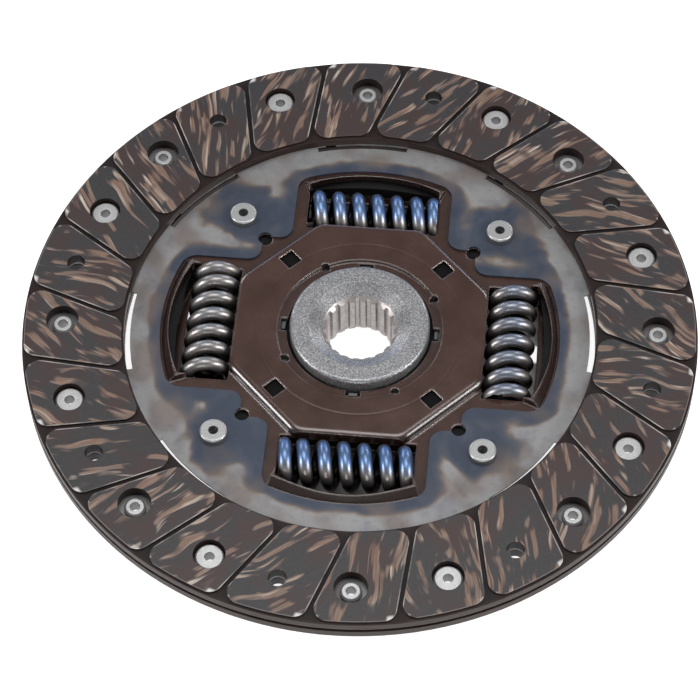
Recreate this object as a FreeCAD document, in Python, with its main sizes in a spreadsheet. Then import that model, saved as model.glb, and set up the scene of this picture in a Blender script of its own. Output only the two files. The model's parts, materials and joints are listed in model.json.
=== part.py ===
import FreeCAD, Part
import math
import os

import Sketcher

# Clutch disc, 200 mm outside and 140 mm inside the friction facings, with four damper springs.
# Z is the shaft axis. Z = 0 is the middle of the cushion plate, +Z is the side with the hub collar.
# The four damper springs stand at 0, 90, 180 and 270 degrees about Z.

SIZES = {
    # friction facings
    "facing_width": 30.0,
    "facing_cover": 0.2,
    "facing_thickness": 3.45,
    "groove_count": 24,
    "groove_depth": 0.9,
    "groove_width": 1.3,
    "groove_skew_radius": 26.4,
    "groove_turn": -4.13,
    "pad_inset": 0.6,
    "pad_corner_radius": 4.0,
    # facing rivets, eight on each side
    "rivet_inset": 11.66,
    "rivet_count": 8,
    "rivet_spread_angle": 13.54,
    "rivet_head_radius": 4.15,
    "rivet_head_height": 1.0,
    "rivet_head_edge": 0.45,
    "rivet_seat_height": 0.85,
    "rivet_shank_radius": 2.3,
    "rivet_bore_radius": 1.5,
    "rivet_roll_radius": 3.15,
    "rivet_roll_height": 1.7,
    "rivet_roll_edge": 0.6,
    "rivet_hole_clearance": 0.1,
    "rivet_head_clearance": 0.5,
    "rivet_roll_clearance": 1.7,
    "jig_hole_radius": 2.65,
    # cushion plate with eight waved paddles
    "cushion_thickness": 0.8,
    "paddle_count": 8,
    "paddle_turn": 80.03,
    "paddle_inset": 1.6,
    "paddle_ramp_half": 12.0,
    "paddle_gap_width": 3.2,
    "wave_rise": 0.25,
    "cushion_ring_width": 5.8,
    "neck_slot_width": 1.9,
    "neck_slot_angle": 23.0,
    "neck_slot_lead": 3.4,
    "lobe_gap": 0.6,
    "lobe_side_gap": 3.8,
    "lobe_corner_radius": 5.0,
    "tongue_ear_step": 0.7,
    "tongue_corner_radius": 4.0,
    # damper plates
    "plate_thickness": 1.4,
    "plate_rim_width": 3.6,
    "plateau_room": 2.8,
    "plateau_corner_radius": 7.0,
    "plateau_bend_radius": 2.2,
    "front_plateau_rise": 2.8,
    "rear_plateau_rise": 1.2,
    "front_bore_gap": 1.0,
    "recess_width": 2.8,
    "recess_depth": 0.8,
    "spring_seat_clearance": 0.1,
    "window_bite": 0.9,
    "window_bow": 4.8,
    "rear_window_inset": 4.1,
    "lip_foot_step": 1.9,
    "lip_lean": 2.3,
    "lip_rise": 2.4,
    "lip_end_angle": 1.0,
    "lip_wall_angle": 1.5,
    "lip_thickness": 1.0,
    "assembly_hole_step": 10.51,
    "assembly_hole_radius": 2.15,
    "lug_step": 3.44,
    "lug_hole_width": 4.8,
    "small_hole_inset": 0.2,
    "small_hole_radius": 1.3,
    "small_hole_turn": 30.0,
    "tab_notch_width": 4.4,
    "tab_notch_depth": 1.9,
    # hub
    "flange_inset": 2.1,
    "flange_thickness": 3.4,
    "flange_clearance": 0.1,
    "flange_bevel": 0.5,
    "collar_step": 3.3,
    "collar_rise": 2.5,
    "collar_edge_radius": 1.1,
    "neck_wall": 6.6,
    "hub_tail": 2.8,
    "neck_edge_chamfer": 1.2,
    "dish_width": 3.9,
    "dish_floor_step": 0.4,
    "dish_depth": 2.3,
    "spline_count": 20,
    "spline_minor_radius": 10.1,
    "spline_depth": 0.8,
    "spline_space_angle": 9.6,
    "spline_root_angle": 5.9,
    "bore_chamfer": 0.4,
    "flange_window_clearance": 0.25,
    "flange_window_inset": 2.3,
    "flange_fit": 0.02,
    "stop_angle": 8.5,
    "notch_clearance": 0.3,
    # damper springs
    "spring_overhang": 0.1,
    "spring_length": 39.6,
    "spring_radius": 7.5,
    "wire_radius": 2.0,
    "coil_pitch": 5.95,
    # stop pins
    "pin_inset": 7.15,
    "pin_spacer_radius": 4.3,
    "pin_shank_radius": 3.3,
    "pin_head_radius": 4.05,
    "pin_head_height": 2.1,
    "pin_head_edge": 0.7,
    "pin_dimple_radius": 1.15,
    "pin_dimple_depth": 0.7,
    # friction pieces between flange and plates
    "friction_ring_gap": 0.8,
    "friction_ring_width": 6.2,
    "lug_width": 4.5,
    "lug_height": 0.4,
    "thrust_ring_gap": 1.4,
    "thrust_ring_width": 6.2,
    "thrust_ring_thickness": 0.7,
    "thrust_tab_width": 2.6,
    "thrust_tab_thickness": 1.0,
    "thrust_tab_height": 2.2,
    "inner_washer_thickness": 0.8,
    "disc_spring_thickness": 0.5,
    "disc_spring_width": 2.7,
    "rear_washer_gap": 0.4,
    "rear_washer_width": 8.6,
    "bush_clearance": 0.15,
    "bush_wall": 2.75,
    "bush_flange_width": 3.6,
    "bush_depth": 4.2,
    "bush_seat_clearance": 0.05,
    # how far cuts run past the metal
    "cut_margin": 2.0,
}


class Size:
    """A size that knows its value and the spreadsheet expression that gives it."""

    def __init__(self, value, text):
        self.value = value
        self.text = text

    def join(self, sign, other, value):
        return Size(value, "(" + self.text + " " + sign + " " + as_size(other).text + ")")

    def __add__(self, other):
        return self.join("+", other, self.value + as_size(other).value)

    def __sub__(self, other):
        return self.join("-", other, self.value - as_size(other).value)

    def __mul__(self, other):
        return self.join("*", other, self.value * as_size(other).value)

    def __truediv__(self, other):
        return self.join("/", other, self.value / as_size(other).value)

    def __neg__(self):
        return as_size(0.0) - self


def as_size(value):
    if isinstance(value, Size):
        return value
    return Size(float(value), "(" + repr(float(value)) + ")")


def square_root(size):
    return Size(math.sqrt(size.value), "sqrt(" + size.text + ")")


def cosine(angle):
    angle = as_size(angle)
    return Size(math.cos(math.radians(angle.value)), "cos(" + angle.text + ")")


def sine(angle):
    angle = as_size(angle)
    return Size(math.sin(math.radians(angle.value)), "sin(" + angle.text + ")")


def arc_tangent(ratio):
    return Size(math.degrees(math.atan(ratio.value)), "(atan(" + ratio.text + ") / 1 deg)")


def across(radius, half_chord):
    """How far out a circle of this radius is where its half chord is half_chord."""
    return square_root(radius * radius - half_chord * half_chord)


def bind(thing, name, size):
    thing.setExpression(name, as_size(size).text)


def move_to(thing, rise=0, axis=(0, 0, 1), angle=0):
    """Binds the whole placement: a rise along Z and a turn by angle about an axis through the origin."""
    way = "; ".join(as_size(part).text for part in axis)
    spin = "rotation(vector(" + way + "); " + as_size(angle).text + ")"
    bind_text = "placement(vector(0; 0; " + as_size(rise).text + "); " + spin + ")"
    thing.setExpression("Placement", bind_text)


doc = FreeCAD.newDocument("clutch_disc")
sheet = doc.addObject("Spreadsheet::Sheet", "Sizes")
size = {}
for row, (name, number) in enumerate(SIZES.items(), start=1):
    sheet.set("A" + str(row), name)
    sheet.set("B" + str(row), repr(number))
    sheet.setAlias("B" + str(row), name)
    size[name] = Size(float(number), "Sizes." + name)
doc.recompute()

Z_AXIS = FreeCAD.Vector(0, 0, 1)
SMALL = 1e-6

# Heights that follow from the driving sizes
cushion_half = size["cushion_thickness"] / 2
facing_back = cushion_half + size["wave_rise"]
facing_face = facing_back + size["facing_thickness"]
plate_front_face = -cushion_half
plate_front_back = plate_front_face - size["plate_thickness"]
flange_front = plate_front_back - size["flange_clearance"]
flange_middle = flange_front - size["flange_thickness"] / 2
flange_rear = flange_front - size["flange_thickness"]
plate_rear_back = flange_rear - size["flange_clearance"]
plate_rear_face = plate_rear_back - size["plate_thickness"]
plateau_ceiling = plate_front_back + size["front_plateau_rise"]
rear_plateau_floor = plate_rear_back - size["rear_plateau_rise"]
window_half = size["spring_length"] / 2 + size["spring_seat_clearance"]
size["collar_top"] = plateau_ceiling + size["plate_thickness"] + size["collar_rise"]
size["hub_bottom"] = rear_plateau_floor - size["bush_depth"] - size["hub_tail"]

# Radii that follow from the driving sizes, from the shaft outwards
size["spline_major_radius"] = size["spline_minor_radius"] + size["spline_depth"]
size["dish_floor_radius"] = size["spline_major_radius"] + size["dish_floor_step"]
size["dish_radius"] = size["dish_floor_radius"] + size["dish_width"]
size["neck_radius"] = size["spline_major_radius"] + size["neck_wall"]
size["collar_radius"] = size["neck_radius"] + size["collar_step"]
size["front_bore_radius"] = size["collar_radius"] + size["front_bore_gap"]
size["recess_radius"] = size["front_bore_radius"] + size["recess_width"]
size["small_hole_reach"] = size["recess_radius"] - size["small_hole_inset"]
size["tab_notch_reach"] = size["front_bore_radius"] + size["tab_notch_depth"]
size["thrust_ring_inner_radius"] = size["collar_radius"] + size["thrust_ring_gap"]
size["thrust_ring_outer_radius"] = size["thrust_ring_inner_radius"] + size["thrust_ring_width"]
size["friction_ring_inner_radius"] = size["thrust_ring_outer_radius"] + size["friction_ring_gap"]
size["friction_ring_outer_radius"] = size["friction_ring_inner_radius"] + size["friction_ring_width"]
size["lug_hole_reach"] = size["friction_ring_inner_radius"] + size["lug_step"]
size["plateau_apothem"] = size["friction_ring_outer_radius"] + size["plateau_room"]
size["window_inner_reach"] = size["plateau_apothem"] - size["window_bite"]
size["spring_reach"] = size["window_inner_reach"] + size["spring_radius"] - size["spring_overhang"]
size["window_side_reach"] = size["spring_reach"] + size["spring_radius"]
size["window_outer_reach"] = size["window_side_reach"] + size["window_bow"]
size["flange_window_reach"] = size["window_outer_reach"] - size["flange_window_inset"]
size["lip_foot_radius"] = size["window_outer_reach"] + size["lip_foot_step"]
size["lip_crest_radius"] = size["lip_foot_radius"] - size["lip_lean"]
window_angle = arc_tangent(window_half / size["window_side_reach"])
size["lip_half_angle"] = window_angle + size["lip_end_angle"]
size["lip_hollow_half_angle"] = size["lip_half_angle"] - size["lip_wall_angle"]
size["plate_outer_radius"] = size["lip_foot_radius"] + size["plate_rim_width"]
size["flange_radius"] = size["plate_outer_radius"] - size["flange_inset"]
size["pin_reach"] = size["plate_outer_radius"] - size["pin_inset"]
size["assembly_hole_reach"] = size["pin_reach"] - size["assembly_hole_step"]
size["tongue_ear"] = size["assembly_hole_reach"] * cosine(45.0) + size["tongue_ear_step"]
size["lobe_radius"] = size["lip_foot_radius"] + size["lobe_gap"]
size["lobe_half_width"] = window_half + size["lobe_side_gap"]
size["neck_slot_inner_radius"] = size["plate_outer_radius"] + size["cushion_ring_width"]
size["neck_slot_outer_radius"] = size["neck_slot_inner_radius"] + size["neck_slot_width"]
size["facing_inner_radius"] = size["neck_slot_outer_radius"] - size["facing_cover"]
size["facing_outer_radius"] = size["facing_inner_radius"] + size["facing_width"]
size["rivet_circle_radius"] = size["facing_outer_radius"] - size["rivet_inset"]
size["paddle_outer_radius"] = size["facing_outer_radius"] - size["paddle_inset"]
size["bush_inner_radius"] = size["neck_radius"] + size["bush_clearance"]
size["bush_outer_radius"] = size["bush_inner_radius"] + size["bush_wall"]
size["bush_flange_radius"] = size["bush_outer_radius"] + size["bush_flange_width"]
size["rear_washer_inner_radius"] = size["bush_flange_radius"] + size["rear_washer_gap"]
size["rear_washer_outer_radius"] = size["rear_washer_inner_radius"] + size["rear_washer_width"]


# Helpers for bodies and sketches


def new_body(label):
    body = doc.addObject("PartDesign::Body", label)
    body.Label = label
    return body


def origin_part(body, role):
    return next(part for part in body.Origin.OriginFeatures if part.Role == role)


def new_sketch(body, plane, height=None, turn=None, shift=None):
    """A sketch on one of the body's own planes, raised, turned or shifted along its X by sizes."""
    sketch = body.newObject("Sketcher::SketchObject", "Outline")
    sketch.AttachmentSupport = [(origin_part(body, plane), "")]
    sketch.MapMode = "FlatFace"
    offset = FreeCAD.Vector(as_size(shift or 0).value, 0, as_size(height or 0).value)
    spin = FreeCAD.Rotation(Z_AXIS, as_size(turn or 0).value)
    sketch.AttachmentOffset = FreeCAD.Placement(offset, spin)
    if height is not None:
        bind(sketch, "AttachmentOffset.Base.z", height)
    if shift is not None:
        bind(sketch, "AttachmentOffset.Base.x", shift)
    if turn is not None:
        bind(sketch, "AttachmentOffset.Rotation.Angle", turn)
    return sketch


def constrain(sketch, kind, arguments, amount):
    index = sketch.addConstraint(Sketcher.Constraint(kind, *arguments, amount.value))
    bind(sketch, "Constraints[" + str(index) + "]", amount)


def add_circle(sketch, radius, reach=0, turn=0):
    """A circle, reach away from the sketch's origin in the direction turn."""
    radius = as_size(radius)
    over = as_size(reach) * cosine(turn)
    up = as_size(reach) * sine(turn)
    centre = FreeCAD.Vector(over.value, up.value, 0)
    index = sketch.addGeometry(Part.Circle(centre, Z_AXIS, radius.value))
    if as_size(reach).value == 0:
        sketch.addConstraint(Sketcher.Constraint("Coincident", index, 3, -1, 1))
    else:
        constrain(sketch, "DistanceX", (-1, 1, index, 3), over)
        constrain(sketch, "DistanceY", (-1, 1, index, 3), up)
    constrain(sketch, "Radius", (index,), radius)


def arc_between(start, end, radius):
    """The short arc from start to end, its centre on the left, or on the right for a negative radius."""
    chord = end - start
    middle = (start + end) * 0.5
    normal = FreeCAD.Vector(-chord.y, chord.x, 0).normalize()
    side = 1 if radius > 0 else -1
    rise = abs(radius) - math.sqrt(radius * radius - chord.Length ** 2 / 4)
    return Part.Arc(start, middle - normal * side * rise, end)


def add_outline(sketch, corners):
    """A closed outline. A corner is (x, y), or (x, y, radius) where an arc runs from it to the next one."""
    first = sketch.GeometryCount
    count = len(corners)
    points = [FreeCAD.Vector(as_size(c[0]).value, as_size(c[1]).value, 0) for c in corners]
    for place, corner in enumerate(corners):
        start = points[place]
        end = points[(place + 1) % count]
        if len(corner) == 3:
            sketch.addGeometry(arc_between(start, end, as_size(corner[2]).value))
        else:
            sketch.addGeometry(Part.LineSegment(start, end))
    starts = []
    ends = []
    for place, corner in enumerate(corners):
        backwards = len(corner) == 3 and as_size(corner[2]).value < 0
        starts.append(2 if backwards else 1)
        ends.append(1 if backwards else 2)
    for place, corner in enumerate(corners):
        here = first + place
        following = first + (place + 1) % count
        joint = ("Coincident", here, ends[place], following, starts[(place + 1) % count])
        sketch.addConstraint(Sketcher.Constraint(*joint))
        constrain(sketch, "DistanceX", (-1, 1, here, starts[place]), as_size(corner[0]))
        constrain(sketch, "DistanceY", (-1, 1, here, starts[place]), as_size(corner[1]))
        if len(corner) == 3:
            radius = as_size(corner[2])
            constrain(sketch, "Radius", (here,), radius if radius.value > 0 else -radius)


def add_rectangle(sketch, left, right, low, high):
    add_outline(sketch, [(left, low), (right, low), (right, high), (left, high)])


def add_window(sketch, near, ends, far):
    """A spring window whose outer side bows from ends out to far."""
    bow = as_size(far) - ends
    bow_radius = (window_half * window_half + bow * bow) / (bow * 2)
    add_outline(
        sketch,
        [(near, -window_half), (ends, -window_half, bow_radius), (ends, window_half), (near, window_half)],
    )


def pad(body, sketch, length):
    feature = body.newObject("PartDesign::Pad", "Pad")
    feature.Profile = sketch
    feature.Length = as_size(length).value
    bind(feature, "Length", length)
    doc.recompute()
    return feature


def pocket(body, sketch, depth, upward=False):
    before = body.Shape.Volume
    feature = body.newObject("PartDesign::Pocket", "Pocket")
    feature.Profile = sketch
    feature.Length = as_size(depth).value
    feature.Reversed = upward
    bind(feature, "Length", depth)
    doc.recompute()
    if not body.Shape.Volume < before:
        raise RuntimeError(body.Label + ": a pocket cuts nothing")
    return feature


def revolve(body, sketch, kind="Revolution", angle=None):
    feature = body.newObject("PartDesign::" + kind, kind)
    feature.Profile = sketch
    feature.ReferenceAxis = (sketch, ["V_Axis"])
    if angle is None:
        feature.Angle = 360
    else:
        feature.Midplane = True
        feature.Angle = as_size(angle).value
        bind(feature, "Angle", angle)
    doc.recompute()
    return feature


def around(body, features, count):
    """Repeats features evenly about the body's Z axis."""
    pattern = body.newObject("PartDesign::PolarPattern", "Ring")
    pattern.Originals = features
    pattern.Axis = (origin_part(body, "Z_Axis"), [""])
    pattern.Angle = 360
    pattern.Occurrences = int(as_size(count).value)
    if isinstance(count, Size):
        bind(pattern, "Occurrences", count)
    body.Tip = pattern
    doc.recompute()
    return pattern


def edges_where(shape, test):
    return ["Edge" + str(place) for place, edge in enumerate(shape.Edges, start=1) if test(edge)]


def upright(edge):
    """True for a straight edge along Z."""
    if not isinstance(edge.Curve, Part.Line):
        return False
    along = edge.Vertexes[-1].Point - edge.Vertexes[0].Point
    return math.hypot(along.x, along.y) < SMALL


def middle_of(edge):
    return edge.valueAt((edge.FirstParameter + edge.LastParameter) / 2)


def from_axis(point):
    return math.hypot(point.x, point.y)


def fillet(body, test, radius, refine=True):
    rounded = body.Tip
    names = edges_where(body.Shape, test)
    feature = body.newObject("PartDesign::Fillet", "Fillet")
    feature.Refine = refine
    feature.Base = (rounded, names)
    feature.Radius = as_size(radius).value
    bind(feature, "Radius", radius)
    body.Tip = feature
    doc.recompute()
    return feature


def turned_over(label, source):
    """The same piece on the rear side, half a turn about the middle line of a paddle."""
    copy = doc.addObject("Part::Compound", label)
    copy.Label = label
    copy.Links = [source]
    middle = size["paddle_turn"]
    move_to(copy, axis=(cosine(middle), sine(middle), 0), angle=180)
    return copy


# Friction facings


def friction_facing(label):
    """A moulded ring with proud pads between slanted grooves, holed for both sets of rivets."""
    body = new_body(label)
    outer = size["facing_outer_radius"]
    inner = size["facing_inner_radius"]
    pad_outer = outer - size["pad_inset"]
    pad_inner = inner + size["pad_inset"]
    floor = facing_face - size["groove_depth"]
    ring = new_sketch(body, "XY_Plane", facing_back)
    add_circle(ring, outer)
    add_circle(ring, inner)
    pad(body, ring, floor - facing_back)
    pads = new_sketch(body, "XY_Plane", floor)
    add_circle(pads, pad_outer)
    add_circle(pads, pad_inner)
    pad(body, pads, size["groove_depth"])
    groove = new_sketch(body, "XY_Plane", facing_face, size["groove_turn"])
    skew = size["groove_skew_radius"]
    half = size["groove_width"] / 2
    margin = size["cut_margin"]
    add_rectangle(groove, across(inner, skew + half) - margin, outer + margin, skew - half, skew + half)
    groove_cut = pocket(body, groove, size["groove_depth"])
    circle = size["rivet_circle_radius"]
    own_rivet = size["paddle_turn"] - size["rivet_spread_angle"]
    other_rivet = size["paddle_turn"] + size["rivet_spread_angle"]
    seat = facing_back + size["rivet_seat_height"]
    through = new_sketch(body, "XY_Plane", facing_face)
    add_circle(through, size["jig_hole_radius"], circle, size["paddle_turn"])
    add_circle(through, size["rivet_shank_radius"] + size["rivet_hole_clearance"], circle, own_rivet)
    add_circle(through, size["rivet_roll_radius"] + size["rivet_roll_clearance"], circle, other_rivet)
    hole_cut = pocket(body, through, facing_face - facing_back)
    sunk = new_sketch(body, "XY_Plane", facing_face)
    add_circle(sunk, size["rivet_head_radius"] + size["rivet_head_clearance"], circle, own_rivet)
    seat_cut = pocket(body, sunk, facing_face - seat)
    around(body, [hole_cut, seat_cut], size["rivet_count"])
    around(body, [groove_cut], size["groove_count"])

    def pad_corner(edge):
        middle = middle_of(edge)
        rims = (pad_inner.value, pad_outer.value)
        gap = min(abs(from_axis(middle) - rim) for rim in rims)
        return upright(edge) and gap < SMALL and middle.z > floor.value

    fillet(body, pad_corner, size["pad_corner_radius"], refine=False)
    return body


# Rivets of the facings


def facing_rivets(label):
    """Tubular rivets: head in the facing's counterbore, rolled end behind the paddle."""
    body = new_body(label)
    section = new_sketch(body, "XZ_Plane", shift=size["rivet_circle_radius"])
    bore = size["rivet_bore_radius"]
    shank = size["rivet_shank_radius"]
    head = size["rivet_head_radius"]
    roll = size["rivet_roll_radius"]
    seat = facing_back + size["rivet_seat_height"]
    top = seat + size["rivet_head_height"]
    paddle_back = facing_back - size["cushion_thickness"]
    end = paddle_back - size["rivet_roll_height"]
    edge = size["rivet_head_edge"]
    roll_edge = size["rivet_roll_edge"]
    add_outline(
        section,
        [
            (bore, end),
            (roll - roll_edge, end),
            (roll, end + roll_edge),
            (roll, paddle_back - roll_edge),
            (roll - roll_edge, paddle_back),
            (shank, paddle_back),
            (shank, seat),
            (head, seat),
            (head, top - edge),
            (head - edge, top),
            (bore, top),
        ],
    )
    one = revolve(body, section)
    around(body, [one], size["rivet_count"])
    move_to(body, angle=size["paddle_turn"] - size["rivet_spread_angle"])
    return body


# Cushion plate


def cushion_plate(label):
    """One spring-steel sheet: tongues, ring, necks and eight paddles waved between the facings.

    The body is drawn with a paddle on its +Y axis and turned into place as a whole.
    """
    body = new_body(label)
    thick = size["cushion_thickness"]
    rise = size["wave_rise"]
    neck = size["neck_slot_outer_radius"]
    ramp = size["paddle_ramp_half"]
    outer = size["paddle_outer_radius"]
    root = neck - cushion_half
    sector = as_size(180.0) / size["paddle_count"]
    skew = as_size(90.0) - size["paddle_turn"]
    ring = new_sketch(body, "XY_Plane", -cushion_half)
    add_circle(ring, neck)
    pad(body, ring, thick)
    petals = []
    for side, middle in ((1, rise), (-1, -rise)):
        petal = new_sketch(body, "XY_Plane", middle - cushion_half)
        corner_inner = (root * sine(sector), root * cosine(sector))
        corner_outer = (outer * sine(sector), outer * cosine(sector))
        if side == 1:
            corners = [
                (ramp, across(root, ramp), -root),
                corner_inner,
                corner_outer + (outer,),
                (ramp, across(outer, ramp)),
            ]
        else:
            corners = [
                (-ramp, across(root, ramp), root),
                (-corner_inner[0], corner_inner[1]),
                (-corner_outer[0], corner_outer[1], -outer),
                (-ramp, across(outer, ramp)),
            ]
        add_outline(petal, corners)
        petals.append(pad(body, petal, thick))
    ramp_outer = across(outer, ramp)
    slope = new_sketch(body, "XZ_Plane", -ramp_outer)
    add_outline(
        slope,
        [
            (-ramp, -rise - cushion_half),
            (ramp, rise - cushion_half),
            (ramp, rise + cushion_half),
            (-ramp, -rise + cushion_half),
        ],
    )
    petals.append(pad(body, slope, ramp_outer - across(root, ramp)))
    around(body, petals, size["paddle_count"])
    depth = thick * 4
    above = thick * 2
    gap = new_sketch(body, "XY_Plane", above, sector)
    gap_half = size["paddle_gap_width"] / 2
    add_rectangle(gap, -gap_half, gap_half, root - thick, outer + size["cut_margin"])
    gap_cut = pocket(body, gap, depth)
    slot = new_sketch(body, "XY_Plane", above, sector)
    slot_inner = size["neck_slot_inner_radius"]
    lead = size["neck_slot_lead"]
    trail = lead - size["neck_slot_angle"]
    add_outline(
        slot,
        [
            (slot_inner * -sine(trail), slot_inner * cosine(trail), slot_inner),
            (slot_inner * -sine(lead), slot_inner * cosine(lead)),
            (neck * -sine(lead), neck * cosine(lead), -neck),
            (neck * -sine(trail), neck * cosine(trail)),
        ],
    )
    slot_cut = pocket(body, slot, depth)
    cuts = [gap_cut, slot_cut]
    rivet_hole = size["rivet_shank_radius"] + size["rivet_hole_clearance"]
    spread = size["rivet_spread_angle"]
    for radius, turn in (
        (size["jig_hole_radius"], as_size(90.0)),
        (rivet_hole, as_size(90.0) - spread),
        (rivet_hole, spread + 90.0),
    ):
        hole = new_sketch(body, "XY_Plane", above, turn)
        add_circle(hole, radius, size["rivet_circle_radius"])
        cuts.append(pocket(body, hole, depth))
    around(body, cuts, size["paddle_count"])
    lobe = size["lobe_radius"]
    width = size["lobe_half_width"]
    ear = size["tongue_ear"]
    side = across(lobe, width)
    opening = new_sketch(body, "XY_Plane", above, skew)
    add_outline(
        opening,
        [
            (side, -width, lobe),
            (side, width),
            (ear, width),
            (ear, ear),
            (width, ear),
            (width, side, lobe),
            (-width, side),
            (-width, ear),
            (-ear, ear),
            (-ear, width),
            (-side, width, lobe),
            (-side, -width),
            (-ear, -width),
            (-ear, -ear),
            (-width, -ear),
            (-width, -side, lobe),
            (width, -side),
            (width, -ear),
            (ear, -ear),
            (ear, -width),
        ],
    )
    pocket(body, opening, depth)
    inner_corner = math.hypot(ear.value, ear.value)
    fillet(
        body,
        lambda edge: upright(edge) and from_axis(middle_of(edge)) < inner_corner - SMALL,
        size["tongue_corner_radius"],
    )
    fillet(
        body,
        lambda edge: upright(edge) and abs(from_axis(middle_of(edge)) - lobe.value) < SMALL,
        size["lobe_corner_radius"],
    )
    notch = new_sketch(body, "XY_Plane", above, skew + 45.0)
    add_circle(notch, size["assembly_hole_radius"], size["assembly_hole_reach"])
    notch_cut = pocket(body, notch, depth)
    pin_hole = new_sketch(body, "XY_Plane", above, skew + 45.0)
    add_circle(pin_hole, size["pin_shank_radius"], size["pin_reach"])
    pin_cut = pocket(body, pin_hole, depth)
    around(body, [notch_cut, pin_cut], 4)
    move_to(body, angle=-skew)
    return body


# Damper plates, drawn with z = 0 on the side that faces the flange


def octagon(sketch, apothem):
    reach = apothem / cosine(22.5)
    corners = []
    for place in range(8):
        angle = 22.5 + 45.0 * place
        corners.append((reach * cosine(angle), reach * sine(angle)))
    add_outline(sketch, corners)


def damper_plate(label, rise, bore, window_far):
    """A pressed plate: raised octagonal middle, four spring windows with drawn-up lips, pin holes."""
    body = new_body(label)
    thick = size["plate_thickness"]
    disc = new_sketch(body, "XY_Plane", as_size(0))
    add_circle(disc, size["plate_outer_radius"])
    pad(body, disc, thick)
    raised = new_sketch(body, "XY_Plane", as_size(0))
    octagon(raised, size["plateau_apothem"])
    pad(body, raised, rise + thick)
    fillet(body, upright, size["plateau_corner_radius"])
    top = (rise + thick).value
    flat = thick.value
    reach = size["plate_outer_radius"].value - 1

    def plateau_rim(edge):
        point = middle_of(edge)
        return abs(point.z - top) < SMALL and from_axis(point) < reach

    fillet(body, plateau_rim, size["plateau_bend_radius"] * rise / size["front_plateau_rise"])
    hollow = new_sketch(body, "XY_Plane", as_size(0))
    octagon(hollow, size["plateau_apothem"] - thick)
    pocket(body, hollow, rise, upward=True)
    crest = size["lip_crest_radius"]
    foot = size["lip_foot_radius"]
    lift = size["lip_rise"]
    inside = size["window_side_reach"] - thick * 2
    lip = new_sketch(body, "XZ_Plane")
    inlay = thick / 2
    add_outline(
        lip,
        [(inside, inlay), (foot, inlay), (foot, thick), (crest, thick + lift), (inside, thick + lift)],
    )
    lip_body = revolve(body, lip, angle=size["lip_half_angle"] * 2)
    under = new_sketch(body, "XZ_Plane")
    inner_foot = foot - size["lip_thickness"]
    inner_crest = crest - size["lip_thickness"]
    add_outline(
        under,
        [(inside - thick, 0), (inner_foot, 0), (inner_crest, lift), (inside - thick, lift)],
    )
    lip_hollow = revolve(body, under, "Groove", angle=size["lip_hollow_half_angle"] * 2)
    opening = new_sketch(body, "XY_Plane", thick + lift * 2)
    add_window(
        opening,
        size["window_inner_reach"],
        size["window_side_reach"],
        window_far,
    )
    window = pocket(body, opening, (thick + lift) * 3)
    pin_hole = new_sketch(body, "XY_Plane", thick * 2, as_size(45))
    add_circle(pin_hole, size["pin_shank_radius"], size["pin_reach"])
    pin_cut = pocket(body, pin_hole, thick * 3)
    assembly = new_sketch(body, "XY_Plane", thick * 2, as_size(45))
    add_circle(assembly, size["assembly_hole_radius"], size["assembly_hole_reach"])
    assembly_cut = pocket(body, assembly, thick * 3)
    around(body, [lip_body, lip_hollow, window, pin_cut, assembly_cut], 4)
    centre = new_sketch(body, "XY_Plane", (rise + thick) * 2)
    add_circle(centre, bore)
    pocket(body, centre, (rise + thick) * 3)
    return body


def front_damper_plate(label):
    thick = size["plate_thickness"]
    rise = size["front_plateau_rise"]
    recess = size["recess_radius"]
    drop = size["recess_depth"]
    bore = size["front_bore_radius"]
    body = damper_plate(label, rise, bore, size["window_outer_reach"])
    step = new_sketch(body, "XY_Plane", rise - drop)
    add_circle(step, recess + thick / 2)
    add_circle(step, bore)
    pad(body, step, drop)
    dish = new_sketch(body, "XY_Plane", rise + thick)
    add_circle(dish, recess)
    pocket(body, dish, drop)
    depth = (rise + thick + drop) * 2
    above = rise + thick + drop
    lug_hole = new_sketch(body, "XY_Plane", above, as_size(45))
    half = size["lug_hole_width"] / 2
    reach = size["lug_hole_reach"]
    add_rectangle(lug_hole, reach - half, reach + half, -half, half)
    lug_cut = pocket(body, lug_hole, depth)
    small = new_sketch(body, "XY_Plane", above, size["small_hole_turn"])
    add_circle(small, size["small_hole_radius"], size["small_hole_reach"])
    small_cut = pocket(body, small, depth)
    notch = new_sketch(body, "XY_Plane", above)
    wide = size["tab_notch_width"] / 2
    add_rectangle(notch, bore - size["cut_margin"], size["tab_notch_reach"], -wide, wide)
    notch_cut = pocket(body, notch, depth)
    around(body, [lug_cut, small_cut, notch_cut], 4)
    move_to(body, rise=plate_front_back)
    return body


def rear_damper_plate(label):
    bore = size["bush_outer_radius"] + size["bush_seat_clearance"]
    far = size["window_outer_reach"] - size["rear_window_inset"]
    body = damper_plate(label, size["rear_plateau_rise"], bore, far)
    move_to(body, rise=plate_rear_back, axis=(1, 0, 0), angle=180)
    return body


# Hub and its flange


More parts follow.
